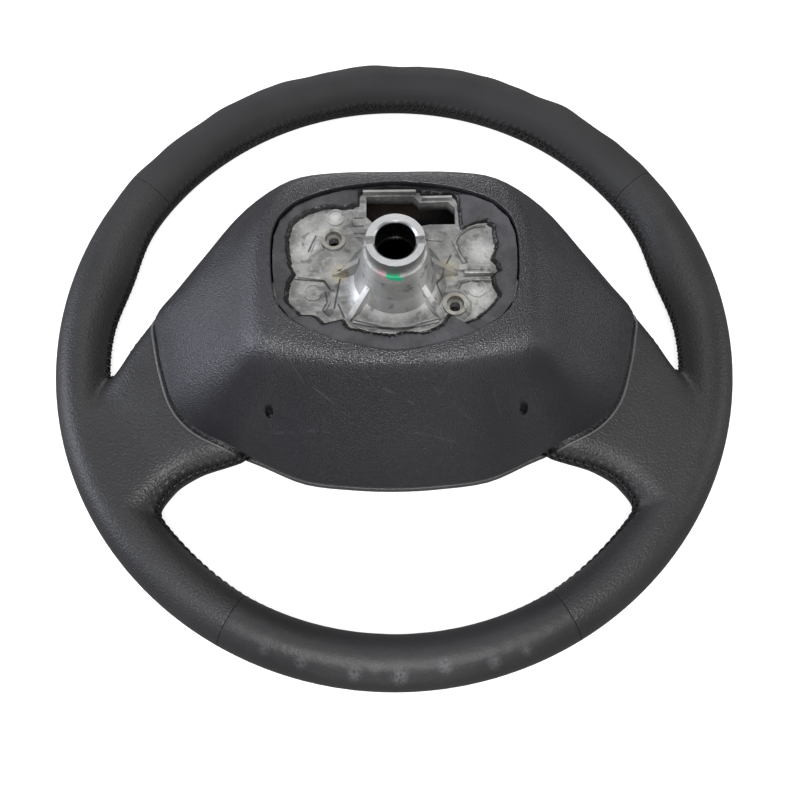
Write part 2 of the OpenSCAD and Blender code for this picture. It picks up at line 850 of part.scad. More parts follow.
module horn_spring(i) {
    p = pin_spots[i];
    coil_r = pin_d / 2 + 0.5 + spring_wire / 2 + 0.3;
    low = flange_z + spring_wire / 2 + 0.05;
    high = post_end - plate_gauge - spring_wire / 2 - 0.05;
    count = spring_turns * spring_steps;
    rings = [
        for (j = [0 : count])
            let (
                a = j * 360 / spring_steps,
                z = lerp(low, high, j / count)
            )
            [
                for (k = [0 : spring_sides - 1])
                    let (
                        t = 45 + k * 360 / spring_sides,
                        r = coil_r + spring_wire / 2 * 1.2 * cos(t)
                    )
                    [p[0] + r * cos(a), p[1] + r * sin(a), z + spring_wire / 2 * 1.2 * sin(t)]
            ]
    ];
    color("silver") bar_loft(rings);
}

module horn_spring_1() {
    horn_spring(0);
}

module horn_spring_2() {
    horn_spring(1);
}

module horn_spring_3() {
    horn_spring(2);
}

module horn_spring_4() {
    horn_spring(3);
}

armature();
spline_bush();
foam_body();
leather_top();
leather_left();
leather_right();
leather_bottom();
rear_cover();
cover_screw_left();
cover_screw_right();
front_bezel();
horn_pad();
module_housing();
inflator();
airbag_cushion();
cushion_retainer();
retainer_nuts();
guide_pins();
guide_bushes();
contact_plate();
contact_studs();
horn_spring_1();
horn_spring_2();
horn_spring_3();
horn_spring_4();
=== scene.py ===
"""Looks of a car steering wheel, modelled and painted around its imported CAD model."""
import json
from math import asin, atan2, cos, degrees, exp, hypot, pi, radians, sin

import bmesh
import bpy
from mathutils import Matrix, Vector, noise
from mathutils.bvhtree import BVHTree
from mathutils.kdtree import KDTree


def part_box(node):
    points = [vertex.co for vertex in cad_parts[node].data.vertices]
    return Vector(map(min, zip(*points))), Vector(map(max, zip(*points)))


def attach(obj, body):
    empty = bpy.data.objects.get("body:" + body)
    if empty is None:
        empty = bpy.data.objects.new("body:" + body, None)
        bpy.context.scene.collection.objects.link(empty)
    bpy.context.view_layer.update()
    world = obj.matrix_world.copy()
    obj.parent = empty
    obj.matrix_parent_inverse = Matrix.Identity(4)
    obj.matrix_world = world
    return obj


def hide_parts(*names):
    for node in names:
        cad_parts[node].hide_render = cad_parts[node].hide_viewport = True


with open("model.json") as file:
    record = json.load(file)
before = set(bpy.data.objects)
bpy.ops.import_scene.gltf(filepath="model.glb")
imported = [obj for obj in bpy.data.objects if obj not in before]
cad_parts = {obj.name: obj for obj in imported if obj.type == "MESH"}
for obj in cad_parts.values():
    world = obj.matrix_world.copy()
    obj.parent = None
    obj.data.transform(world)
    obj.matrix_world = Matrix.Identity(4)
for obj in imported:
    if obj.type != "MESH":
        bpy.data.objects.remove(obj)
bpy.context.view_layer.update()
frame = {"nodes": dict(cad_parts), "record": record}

MM = 0.001
BODY = "wheel"
MODULE = "horn_module"

# Driving sizes, from the frame where it has them
grip_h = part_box("leather_top")[1].z
rim_outer = -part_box("leather_bottom")[0].y
grip_w = 28.6 * MM
rim_r = rim_outer - grip_w / 2
rim_z = grip_h / 2
leather_t = 1.3 * MM
skin_voxel = 1.6 * MM
foam_core_r = 11.5 * MM
pad_t = 2.5 * MM
shoulder_drop = 5

# Thumb rests, spoke roots and the thinner top: size, middle and width in degrees above 3 o'clock
grip_swells = [(4.5 * MM, 15, 9), (1.2 * MM, -36, 14), (-0.7 * MM, 85, 45)]

# Seams across the rim, in degrees above and below 3 o'clock, and half the gap between two sections
seam_up = 34.5
seam_down = 61
seam_gap = 0.05

# Heights along the axis
plate_z = 91 * MM
foam_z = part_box("foam_body")[1].z
lip_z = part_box("rear_cover")[1].z
base_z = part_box("rear_cover")[0].z
seat_z = 46 * MM

# The rear cover's two screws
screw_spots = [(-63, -56), (63, -56)]
well_r = 3.2 * MM
well_wall = 1.6 * MM
well_floor = seat_z + 1.8 * MM
mouth_r = 2.0 * MM
screw_hole_r = 1.9 * MM
cutter_h = 60 * MM

# Spoke wings: each station is a ball at the upper edge and one at the lower edge, in mm
wing_stations = [
    [(112, 12, 24, 12), (70, -53.5, 20, 11)],
    [(122, 5, 23, 13), (79, -56, 20, 12)],
    [(132, -9, 21, 13), (94, -60, 20, 13)],
    [(141, -24, 19, 13), (108, -63.5, 18, 13)],
    [(150, -36, 16, 13), (124, -72.5, 16, 13)],
]
wing_end_angles = (-17, -34)
wing_reach = 165 * MM

# Half outlines round the hub in mm, from 12 o'clock by the right side to 6 o'clock
opening_line = [
    (0, 52.5), (26, 49.7), (39, 46), (49.5, 41), (57, 33), (60, 24), (60.5, 15), (60.2, 6),
    (59.3, -3), (56.8, -13.8), (51.4, -21.3), (42, -27.8), (30, -33), (18, -36.3), (8, -38.5), (0, -39.2),
]
shoulder_line = [
    (0, 58), (28, 57.5), (46, 54), (57, 47.5), (64, 37), (67.5, 26), (69, 14), (69, 2),
    (69, -12), (68.5, -25), (66, -34.5), (58, -39), (44, -42), (28, -44), (12, -45.3), (0, -45.6),
]
edge_line = [
    (0, 62, 88), (30, 62, 88), (54, 58, 88), (79, 46, 78), (99, 30, 64), (115, 18.5, 50),
    (129, 8, 37.5), (127, -6, 38), (123, -23, 38), (116, -42, 38), (103, -56, 37), (84, -65, 35),
    (70, -71, 24), (48, -80.5, 24), (22, -84, 24), (0, -85, 24),
]
base_heights = [20, 20, 20, 20, 24, 33.5, 36, 36.5, 36.5, 36.5, 35, 32.2, 20, 20, 20, 20]
base_flares = [1.04] * 6 + [1.006] * 10
base_line = [(p[0] * flare, p[1] * flare) for p, flare in zip(edge_line, base_flares)]
pad_line = [
    (0, 54), (24, 53.5), (40, 51), (54, 45), (64, 34), (69, 22), (71, 10), (71, -3),
    (69.5, -17), (66, -31), (59, -44), (49, -55), (37, -64), (24, -70), (11, -72.5), (0, -73),
]
outline_points = 120

# Edge of the foam round the bare casting, in mm
casting_line = [
    (-22.2, 40.6), (-33.9, 40.7), (-42.8, 37.9), (-50.6, 31.6), (-52.4, 23.4), (-51.9, 17.1),
    (-51.1, 10.9), (-48.7, 4.1), (-50.8, -0.2), (-51.9, -6.2), (-51.6, -11), (-45, -18), (-38.6, -18.3),
    (-33.2, -22.9), (-24.7, -20.3), (-22, -25), (-14, -26.7), (-1.2, -28.8), (1.9, -27.3), (14.7, -27.5),
    (22.3, -23.2), (24.6, -18.5), (28.3, -19.7), (31.4, -23.3), (37.3, -21), (42.9, -17), (49.2, -9.8),
    (49.5, -7.4), (46.8, -2.6), (47, 2.3), (50.4, 4.1), (49.7, 7.8), (46.9, 10.9), (49.4, 17.1),
    (48.3, 29.2), (45.1, 32.4), (38.4, 30.5), (33.4, 27.4), (32, 31.9), (32, 44), (29.5, 47.4),
    (14.6, 47.6), (12, 50.6), (3.1, 50.8), (-6, 50.8), (-15, 50.6), (-17.2, 48.5), (-17.4, 42.5),
]

# Laced seam along a window's lower and upper edge: a ray's start, aim and height, in mm
lower_seam = [
    ((74, -82), (74, -50), 27), ((90, -88), (96, -60), 27), ((104, -95), (114, -66), 26),
    ((108, -96), (126, -74), 24), ((109, -97), (140, -86), 22), ((108, -98), (140, -100), 20),
    ((105, -100), (136, -118), 18),
]
upper_seam = [
    ((131, 34), (112, 22), 24), ((143, 17), (122, 2), 24), ((151, -2), (134, -14), 22),
    ((154.5, -8), (148, -19), 20), ((153.5, -12), (158, -26), 18), ((153, -12), (175, -15), 16),
]
key_steps = 60
settle_steps = 150
seam_aim = 175
hole_reach = 3.6
seam_zone = 14 * MM
ray_length = 50 * MM

# Lacing; the pitch is in mm
stitch_pitch = 4.6
thread_r = 0.62 * MM
longest_stitch = 9 * MM

# Rays from above
above_all = 200 * MM
straight_down = Vector((0, 0, -1))


def pick(*pieces):
    """Selects these pieces alone, the first of them as the active one."""
    bpy.ops.object.select_all(action="DESELECT")
    for piece in pieces:
        piece.select_set(True)
    bpy.context.view_layer.objects.active = pieces[0]


def open_edit(piece, action="DESELECT"):
    """Opens the piece in edit mode, with nothing or all of it selected."""
    pick(piece)
    bpy.ops.object.mode_set(mode="EDIT")
    bpy.ops.mesh.select_mode(type="VERT")
    bpy.ops.mesh.select_all(action=action)
    return bmesh.from_edit_mesh(piece.data)


def close_edit():
    bpy.ops.object.mode_set(mode="OBJECT")


def named(name):
    """Names the piece that an operator has just added."""
    piece = bpy.context.object
    piece.name = name
    piece.data.name = name
    return piece


def apply_place(piece):
    pick(piece)
    bpy.ops.object.transform_apply(location=True, rotation=True, scale=True)


def joined(pieces, name):
    pick(*pieces)
    bpy.ops.object.join()
    return named(name)


def modified(piece, kind, **settings):
    """Adds a modifier with these settings and applies it."""
    pick(piece)
    made = piece.modifiers.new(kind.lower(), kind)
    for key, value in settings.items():
        setattr(made, key, value)
    bpy.ops.object.modifier_apply(modifier=made.name)


def rounded(piece, width, segments, sharp):
    """Bevels the edges sharper than so many degrees; the width is in mm."""
    modified(
        piece, "BEVEL", width=width * MM, segments=segments,
        limit_method="ANGLE", angle_limit=radians(sharp),
    )


def fitted(piece, slot, node=None, body=BODY):
    """Gives the piece its finish and its body, and lets it stand for its CAD node."""
    piece.data.materials.append(materials[slot])
    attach(piece, body)
    if node:
        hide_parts(node)


def shaded(piece, sharp=40):
    pick(piece)
    bpy.ops.object.shade_smooth_by_angle(angle=radians(sharp))


def skin_of(piece):
    """The piece's surface, for rays."""
    mesh = piece.data
    return BVHTree.FromPolygons([v.co.copy() for v in mesh.vertices], [p.vertices[:] for p in mesh.polygons])


def lerp(a, b, t):
    return a + (b - a) * t


def rise(x, low, high):
    """0 up to low, 1 from high on, and straight between them; low may be the larger one."""
    return max(0.0, min(1.0, (x - low) / (high - low)))


def bump(x, centre, width):
    """A soft hump of height 1 round the centre."""
    return exp(-((x - centre) / width) ** 2)


def full_ring(half):
    """A whole ring from a half one, anticlockwise seen from +Z, in metres."""
    right = [Vector(p) * MM for p in reversed(half)]
    left = [Vector((-p[0], p[1], p[2])) * MM for p in half[1:-1]]
    return right + left


def smooth_ring(points, count=outline_points):
    """A closed curve through the points, cut into equal steps between them."""
    n = len(points)
    ring = []
    for i in range(count):
        place = i * n / count
        k = int(place)
        t = place - k
        a, b, c, d = (points[(k + j) % n] for j in (-1, 0, 1, 2))
        square = (2 * a - 5 * b + 4 * c - d) * t ** 2
        cube = (3 * b - a - 3 * c + d) * t ** 3
        ring.append(0.5 * (2 * b + (c - a) * t + square + cube))
    return ring


def ring_at(line, d, z):
    """The outline moved d mm away from the axis, at the height z in mm or the heights in a list."""
    half = []
    for i, p in enumerate(line):
        k = 1 + d / hypot(p[0], p[1])
        half.append((p[0] * k, p[1] * k, z[i] if isinstance(z, list) else z))
    return smooth_ring(full_ring(half))


def swept(name, rings, caps=(False, False), closed=False):
    """Draws the first ring and extrudes it through the others, capped, open, or closed end to end."""
    bpy.ops.mesh.primitive_circle_add(vertices=len(rings[0]), radius=1)
    piece = named(name)
    place = piece.data.attributes.new("place", "INT", "POINT")
    for vertex, point in zip(piece.data.vertices, rings[0]):
        vertex.co = point
        place.data[vertex.index].value = vertex.index
    open_edit(piece, "SELECT")
    if caps[0]:
        bpy.ops.mesh.edge_face_add()
        bpy.ops.mesh.select_mode(type="EDGE")
    for ring in rings[1:]:
        bpy.ops.mesh.extrude_edges_move()
        form = bmesh.from_edit_mesh(piece.data)
        layer = form.verts.layers.int["place"]
        for vertex in form.verts:
            if vertex.select:
                vertex.co = ring[vertex[layer]]
    if caps[1]:
        bpy.ops.mesh.edge_face_add()
    if closed:
        form = bmesh.from_edit_mesh(piece.data)
        for edge in form.edges:
            edge.select_set(edge.is_boundary)
        bpy.ops.mesh.bridge_edge_loops()
    bpy.ops.mesh.select_all(action="SELECT")
    bpy.ops.mesh.normals_make_consistent(inside=False)
    close_edit()
    return piece


def inner_swell(angle):
    """Extra width of the grip's inner side at this angle."""
    up = degrees(asin(sin(angle)))
    return sum(size * bump(up, middle, width) for size, middle, width in grip_swells)


def rim_form():
    bpy.ops.mesh.primitive_torus_add(
        major_radius=rim_r, minor_radius=grip_w / 2, major_segments=240, minor_segments=40
    )
    rim = named("rim_form")
    for vertex in rim.data.vertices:
        angle = atan2(vertex.co.y, vertex.co.x)
        out = hypot(vertex.co.x, vertex.co.y) - rim_r
        if out < 0:
            out *= 1 + inner_swell(angle) / (grip_w / 2)
        reach = rim_r + out
        vertex.co = (reach * cos(angle), reach * sin(angle), rim_z + vertex.co.z * grip_h / grip_w)
    return rim


def wing_blocks(side):
    """Hulls over neighbouring stations of a spoke wing, the last of them inside the rim."""
    reach = rim_r / MM
    ball_r = grip_w / MM / 2 - 0.5
    ends = [(reach * cos(radians(a)), reach * sin(radians(a)), rim_z / MM, ball_r) for a in wing_end_angles]
    stations = wing_stations + [ends]
    blocks = []
    for near, far in zip(stations, stations[1:]):
        balls = []
        for x, y, z, r in near + far:
            bpy.ops.mesh.primitive_uv_sphere_add(
                segments=32, ring_count=16, radius=r * MM, location=(side * x * MM, y * MM, z * MM)
            )
            balls.append(named("ball"))
        block = joined(balls, "wing_block")
        apply_place(block)
        open_edit(block, "SELECT")
        bpy.ops.mesh.convex_hull()
        close_edit()
        blocks.append(block)
    return blocks


def inside_hub(point, inset):
    """Whether a point lies under the rear cover, at least inset from its outline."""
    k = 1 + inset / max(hypot(point.x, point.y), MM)
    x, y = point.x * k, point.y * k
    crossings = 0
    for a, b in zip(hub_outline, hub_outline[1:] + hub_outline[:1]):
        if (a.y > y) != (b.y > y) and x < a.x + (y - a.y) * (b.x - a.x) / (b.y - a.y):
            crossings += 1
    return crossings % 2 == 1


hub_outline = ring_at(base_line, 0, 0)


def grip_form():
    """Rim and spoke wings in one skin, open where the rear cover hides them."""
    form = joined([rim_form(), *wing_blocks(1), *wing_blocks(-1)], "grip_form")
    modified(form, "REMESH", mode="VOXEL", voxel_size=skin_voxel)
    wings = form.vertex_groups.new(name="wings")
    for vertex in form.data.vertices:
        reach = hypot(vertex.co.x, vertex.co.y)
        wings.add([vertex.index], rise(reach, wing_reach, wing_reach - 12 * MM), "REPLACE")
    modified(form, "SMOOTH", factor=0.5, iterations=10)
    modified(form, "SMOOTH", factor=0.5, iterations=50, vertex_group="wings")
    edit = open_edit(form)
    for vertex in edit.verts:
        vertex.select = inside_hub(vertex.co, inset=7 * MM)
    edit.select_flush(True)
    bpy.ops.mesh.delete(type="VERT")
    close_edit()
    return form


def seam_path(side):
    """Places along the laced seam of one half, as (start of a ray, its aim, height), all in mm."""
    runs = []
    for keys, first, last, count, near_first, near, calm in (
        (lower_seam, -42, -90, 380, 140, 140, 8),
        (upper_seam, -4, 90, 520, 153, 138, 16.5),
    ):
        places = []
        for now, after in zip(keys, keys[1:]):
            for i in range(key_steps):
                t = i / key_steps
                start = lerp(Vector(now[0]), Vector(after[0]), t)
                aim = lerp(Vector(now[1]), Vector(after[1]), t)
                places.append((start, aim, lerp(now[2], after[2], t)))
        for i in range(count):
            up = lerp(first, last, i / (count - 1))
            out = Vector((cos(radians(up)), sin(radians(up))))
            start = out * lerp(near_first, near, rise(up, -5, 17))
            places.append((start, out * seam_aim, lerp(keys[-1][2], calm, rise(i, 0, settle_steps))))
        runs.append([(Vector((side * p.x, p.y)), Vector((side * q.x, q.y)), z) for p, q, z in places])
    return runs


def seam_points(skin, places):
    """The seam's middle and its upper and lower hole on the leather, wherever the rays meet it."""
    found = []
    for start, aim, height in places:
        hits = []
        for lift in (0, hole_reach, -hole_reach):
            source = Vector((start.x, start.y, height + lift)) * MM
            goal = Vector((aim.x, aim.y, height + lift - (height - 13) * 0.5)) * MM
            hits.append(skin.ray_cast(source, (goal - source).normalized(), ray_length)[:2])
        if all(hit[0] is not None for hit in hits):
            found.append(hits)
    return found


def seams(form):
    """All runs of the laced seam: hits for each place, and how far along the run it lies."""
    skin = skin_of(form)
    runs = []
    for side in (1, -1):
        for places in seam_path(side):
            run = seam_points(skin, places)
            length = 0.0
            marks = [0.0]
            for before, after in zip(run, run[1:]):
                length += (after[0][0] - before[0][0]).length
                marks.append(length)
            runs.append((run, marks))
    return runs


def press_seam(form, runs):
    """Sinks the seam and the hem, lumps the top, and writes each point's distances in mm."""
    places = []
    for run, marks in runs:
        for (middle, upper, lower), mark in zip(run, marks):
            places.append((middle[0], (upper[0] - lower[0]).normalized(), mark))
    tree = KDTree(len(places))
    for i, (place, _, _) in enumerate(places):
        tree.insert(place, i)
    tree.balance()
    measures = ("seam_across", "seam_along", "beside_cover")
    for name in measures:
        form.data.attributes.new(name, "FLOAT", "POINT")
    across, along, beside = (form.data.attributes[name].data for name in measures)
    steps = 10
    hem = KDTree(len(hub_outline) * steps)
    for i, (near, far) in enumerate(zip(hub_outline, hub_outline[1:] + hub_outline[:1])):
        for j in range(steps):
            hem.insert(lerp(near, far, j / steps), i * steps + j)
    hem.balance()
    normals = [v.normal.copy() for v in form.data.vertices]
    for vertex, normal in zip(form.data.vertices, normals):
        _, i, distance = tree.find(vertex.co)
        place, way, mark = places[i]
        offset = (vertex.co - place).dot(way) / MM if distance < seam_zone else 20.0
        gap = hem.find(vertex.co.xy.to_3d())[2] / MM
        across[vertex.index].value = offset
        along[vertex.index].value = mark / MM
        beside[vertex.index].value = gap
        sink = 0.55 * bump(offset, 0, 1.5) - 0.25 * bump(abs(offset), 3.4, 1.6) + 0.8 * bump(gap, 0, 1.4)
        lumpy = rise(vertex.co.y, 80 * MM, 110 * MM) * rise(vertex.co.z, 6 * MM, 14 * MM)
        lumps = lumpy * 1.3 * noise.noise(vertex.co * 52)
        vertex.co += normal * (lumps - sink) * MM


def stitch(name, bow):
    """One thread leg of 1 mm length along X, bowed over the leather."""
    bpy.ops.mesh.primitive_cylinder_add(vertices=6, radius=1, depth=1, rotation=(0, pi / 2, 0))
    leg = named(name)
    apply_place(leg)
    open_edit(leg)
    for x in (-0.38, -0.2, 0, 0.2, 0.38):
        bpy.ops.mesh.select_all(action="SELECT")
        bpy.ops.mesh.bisect(plane_co=(x, 0, 0), plane_no=(1, 0, 0))
    close_edit()
    for vertex in leg.data.vertices:
        far = abs(vertex.co.x) * 2
        girth = 0.62 if far > 0.9 else 1
        vertex.co.y *= girth
        vertex.co.z = vertex.co.z * girth + bow * (1 - far ** 2) - 0.9 * far ** 4
    return leg


def laid_stitch(model, start, end, normal):
    """A copy of the thread leg between two holes."""
    x = (end - start).normalized()
    y = normal.cross(x).normalized()
    z = x.cross(y)
    length = (end - start).length
    copy = model.copy()
    copy.data = model.data.copy()
    axes = Matrix((x * length, y * thread_r, z * thread_r)).transposed().to_4x4()
    copy.data.transform(Matrix.Translation((start + end) / 2 + z * thread_r * 0.35) @ axes)
    bpy.context.collection.objects.link(copy)
    return copy


def lacing(runs):
    """Crossed thread legs along every run of the seam."""
    under = stitch("stitch_under", 0.7)
    over = stitch("stitch_over", 1.5)
    for number, (run, marks) in enumerate(runs):
        steps = []
        goal = 0.0
        for hits, mark in zip(run, marks):
            if mark >= goal:
                steps.append(hits)
                goal += stitch_pitch * MM
        legs = []
        for now, after in zip(steps, steps[1:]):
            if (now[0][0] - after[0][0]).length > longest_stitch:
                continue
            normal = (now[0][1] + after[0][1]).normalized()
            legs.append(laid_stitch(under, now[2][0], after[1][0], normal))
            legs.append(laid_stitch(over, now[1][0], after[2][0], normal))
        row = joined(legs, f"lacing_stitches_{number + 1}")
        shaded(row, 60)
        fitted(row, "lacing_thread")
    for model in (under, over):
        bpy.data.objects.remove(model)


def section(form, name, start, end):
    """One leather section of the grip, between two seams, with rolled edges."""
    pick(form)
    bpy.ops.object.duplicate()
    piece = named(name)
    open_edit(piece)
    for angle, sign in ((start, 1), (end, -1)):
        a = radians(angle)
        way = (-sign * sin(a), sign * cos(a), 0)
        bpy.ops.mesh.select_all(action="SELECT")
        bpy.ops.mesh.bisect(plane_co=(0, 0, 0), plane_no=way, clear_inner=True)
    close_edit()
    modified(piece, "SOLIDIFY", thickness=leather_t, offset=-1)
    rounded(piece, 0.5, 2, 55)
    shaded(piece, 50)
    return piece


def leather_sections(form):
    for name, start, end, node, slot in (
        ("leather_skin_top", seam_up, 180 - seam_up, "leather_top", "smooth_leather"),
        ("leather_skin_left", 180 - seam_up, 180 + seam_down, "leather_left", "grained_leather"),
        ("leather_skin_right", -seam_down, seam_up, "leather_right", "grained_leather"),
        ("leather_skin_bottom", -180 + seam_down, -seam_down, "leather_bottom", "smooth_leather"),
    ):
        piece = section(form, name, start + seam_gap, end - seam_gap)
        fitted(piece, slot, node)


def face_ring(t, lift, inset):
    """A ring t of the way from the cover's shoulder to its edge, lifted off it or inset, in mm."""
    half = []
    for s, e in zip(shoulder_line, edge_line):
        low = Vector((s[0], s[1], lip_z / MM - shoulder_drop))
        p = lerp(low, Vector(e), t)
        k = 1 + (lift * 0.5 - inset) / hypot(p.x, p.y)
        half.append((p.x * k, p.y * k, p.z + lift - inset))
    return smooth_ring(full_ring(half))


def rolled(controls, count):
    """Rings along a soft curve from the first of the control rings to just before the last."""
    knots = [controls[0], *controls, controls[-1]]
    rings = []
    for i in range(count):
        place = i * (len(knots) - 2) / count
        k = int(place)
        t = place - k
        u, v, w = 0.5 * (1 - t) ** 2, 0.5 + t * (1 - t), 0.5 * t ** 2
        rings.append([a * u + b * v + c * w for a, b, c in zip(*knots[k:k + 3])])
    return rings


def cover_well(spot, skin):
    """The screw well's wall and floor; its top follows the cover's face."""
    count = 40

    def ring(radius, z=None, sink=0.0):
        """At the height z, or sunk so many mm below the cover's face."""
        points = []
        for i in range(count):
            turn = 2 * pi * i / count
            x, y = spot[0] * MM + radius * cos(turn), spot[1] * MM + radius * sin(turn)
            face = skin.ray_cast(Vector((x, y, above_all)), straight_down)[0].z - sink * MM
            points.append(Vector((x, y, face if z is None else z)))
        return points

    return swept("well", [
        ring(well_r + well_wall, seat_z), ring(well_r + well_wall, sink=2.2),
        ring(mouth_r, sink=0.4), ring(mouth_r, sink=1.8),
        ring(well_r, seat_z + 4.5 * MM), ring(well_r, well_floor),
        ring(screw_hole_r, well_floor), ring(screw_hole_r, seat_z),
    ], closed=True)


def rear_cover():
    top = lip_z / MM
    edge_heights = [p[2] for p in edge_line]
    wall = 2.4
    rings = [
        ring_at(opening_line, 0, top - wall - 1.2), ring_at(opening_line, 0, top - 0.5),
        ring_at(opening_line, 0.2, top - 0.1), ring_at(opening_line, 0.7, top),
        *rolled([
            ring_at(opening_line, 1.4, top - 0.1), ring_at(shoulder_line, 0.6, top - 0.9),
            face_ring(0.3, 2.4, 0), face_ring(0.55, 2.6, 0), face_ring(0.8, 1.9, 0),
            ring_at(edge_line, 0, edge_heights),
        ], 22),
        ring_at(edge_line, 0, edge_heights),
        ring_at(base_line, -1.0, base_heights),
        ring_at(base_line, -wall, base_heights),
        ring_at(edge_line, -wall, [z - 0.6 * wall for z in edge_heights]),
        face_ring(0.5, 2.5, wall),
        ring_at(shoulder_line, -wall, top - shoulder_drop - wall),
        ring_at(shoulder_line, -3.4 - wall, top - 1.9 - wall),
    ]
    cover = swept("rear_cover_shell", rings, closed=True)
    skin = skin_of(cover)
    wells = [cover_well(spot, skin) for spot in screw_spots]
    rounded(cover, 0.8, 3, 38)
    for x, y in screw_spots:
        bpy.ops.mesh.primitive_cylinder_add(
            vertices=40, radius=mouth_r + 0.1 * MM, depth=cutter_h,
            location=(x * MM, y * MM, seat_z + cutter_h / 2 + 5 * MM),
        )
        cutter = named("well_cutter")
        apply_place(cutter)
        modified(cover, "BOOLEAN", operation="DIFFERENCE", object=cutter, solver="EXACT")
        bpy.data.objects.remove(cutter)
    cover = joined([cover, *wells], "rear_cover_shell")
    shaded(cover, 50)
    fitted(cover, "cover_plastic", "rear_cover")


def bead(name, path, width, height, slot, closed=False):
    """A rounded ridge along a path, half sunk in what carries it; half its width and height, in mm."""
    up = Vector((0, 0, 1))
    sides = 10
    turns = [2 * pi * j / sides for j in range(sides)]
    rings = []
    for i, place in enumerate(path):
        before, after = path[i - 1], path[(i + 1) % len(path)]
        if not closed:
            before, after = path[max(i - 1, 0)], path[min(i + 1, len(path) - 1)]
        out = (after - before).cross(up).normalized()
        rings.append([
            place + (out * cos(turn) * width + up * sin(turn) * height) * MM for turn in turns
        ])
    made = swept(name, rings, caps=(not closed, not closed), closed=closed)
    shaded(made, 60)
    fitted(made, slot)


def leather_edge(form):
    """The leather's folded edge: a thin bead beside the groove along the rear cover, lighter than the grip
    as a painted highlight.
    """
    skin = skin_of(form)
    outline = ring_at(base_line, 1.8, 0)
    least_x, most_y, least_z = 74 * MM, 14 * MM, 22 * MM
    for side, name in ((1, "leather_edge_right"), (-1, "leather_edge_left")):
        path = []
        for point in outline:
            if side * point.x > least_x and point.y < most_y:
                hit = skin.ray_cast(Vector((point.x, point.y, above_all)), straight_down)[0]
                if hit is not None and hit.z > least_z:
                    path.append(hit)
        path.sort(key=lambda place: atan2(place.y, side * place.x))
        bead(name, path, 0.75, 0.7, "folded_leather_highlight")


# Ridges on the casting's plate, in mm; the crescent is closed
ridges = {
    "casting_lobe": [(47, 31.5), (41, 31), (34.8, 28.8), (30.6, 25.4), (29, 21.4), (30.3, 15.1), (34, 8.6)],
    "casting_arc_right": [(29.6, -4), (31.2, -0.6), (34.7, 0.7), (47, 0.3)],
    "casting_boss_arc": [(24, -6.9), (28, -5.2), (32.9, -6.6), (36.7, -11.8), (36, -17.3), (32.6, -20.6)],
    "casting_arc_left": [(-32.7, -5.5), (-31.7, -11), (-34.1, -16.2)],
    "casting_fin": [(-41.5, 16.5), (-40.2, 21), (-38.4, 24.3), (-36.9, 21.4), (-35.4, 17.6)],
    "casting_strip": [(-21.4, 39.4), (-21.4, 30.4)],
    "casting_spur": [(15.5, 22.9), (19, 22.6), (23.4, 22.2)],
    "casting_spur_left": [(-15.5, 24.4), (-19.4, 24.9)],
    "casting_crescent": [
        (-22.4, -21.6), (-19.4, -19.7), (-14, -21.9), (-6.2, -24.2), (0.6, -24.9), (6.4, -24.4),
        (13.3, -22.2), (19.2, -20.1), (22.2, -22.1), (15.6, -26), (6, -27.6), (-3.4, -27.8), (-15, -26.1),
    ],
}


def casting_ridges():
    """Low ridges left by the mould on the casting's plate."""
    for name, points in ridges.items():
        path = [Vector((x, y, 0)) * MM + Vector((0, 0, plate_z + 0.1 * MM)) for x, y in points]
        closed = name == "casting_crescent"
        if closed:
            path = smooth_ring(path, 80)
        bead(name, path, 0.5, 0.7, "cast_alloy", closed)
    bpy.ops.mesh.primitive_cube_add(
        size=1, location=(41.6 * MM, 4.7 * MM, plate_z + 0.7 * MM), scale=(16 * MM, 3.2 * MM, 2 * MM)
    )
    bar = named("casting_bar")
    apply_place(bar)
    modified(bar, "BEVEL", width=0.6 * MM, segments=3)
    shaded(bar)
    fitted(bar, "cast_alloy")


def reach_of(line, turn):
    """How far the outline lies from the axis in this direction, in mm."""
    way = Vector((cos(turn), sin(turn)))
    best = 0.0
    for p, q in zip(line, line[1:] + line[:1]):
        edge = Vector((q[0] - p[0], q[1] - p[1]))
        size = way.x * edge.y - way.y * edge.x
        if abs(size) < 1e-9:
            continue
        t = (p[0] * edge.y - p[1] * edge.x) / size
        u = (p[0] * way.y - p[1] * way.x) / size
        if t > 0 and -1e-6 <= u <= 1 + 1e-6:
            best = max(best, t)
    return best


